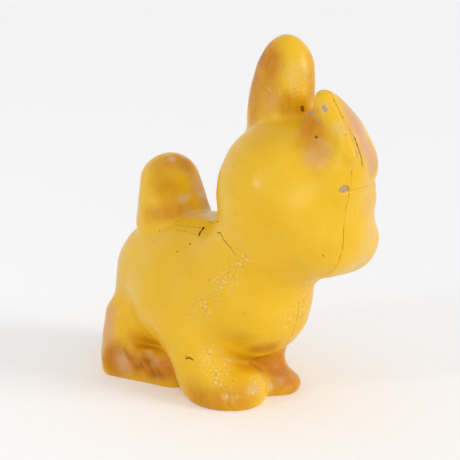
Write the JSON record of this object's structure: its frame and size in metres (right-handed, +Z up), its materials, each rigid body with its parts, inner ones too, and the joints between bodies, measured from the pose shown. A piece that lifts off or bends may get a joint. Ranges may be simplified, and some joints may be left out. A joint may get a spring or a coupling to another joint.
{
  "type": "squeaking rubber puppy figurine",
  "caption": "Hollow moulded rubber puppy standing with its head turned left, one ear upright and one folded, with a metal reed whistle in its sole.",
  "frame": {"origin": "on the ground under the middle of the toy's box", "axes": "+Z up, +X the way the body faces, +Y towards its left side, which is the way the head looks"},
  "size_m": [0.1002, 0.058, 0.1149],
  "materials": {
    "yellow_rubber": "yellow rubber with worn satin paint, sprayed orange-brown on the ears, tail and feet",
    "dull_steel": "dull tinned steel pressing",
    "reed_brass": "thin rolled brass"
  },
  "bodies": {
    "toy": {"right_half_shell": "yellow_rubber", "left_half_shell": "yellow_rubber", "whistle_outer_cup": "dull_steel", "whistle_inner_cup": "dull_steel", "reed_plate": "dull_steel", "reed_rivet": "reed_brass"},
    "reed": {"reed": "reed_brass"}
  },
  "joints": [
    {"name": "reed_beat", "type": "hinge", "parent": "toy", "child": "reed", "pos_m": [-0.02078, -0.00415, 0.00413], "axis": [0, -1, 0], "range_deg": [-3, 6], "stiffness_Nm_per_rad": 0.002}
  ]
}
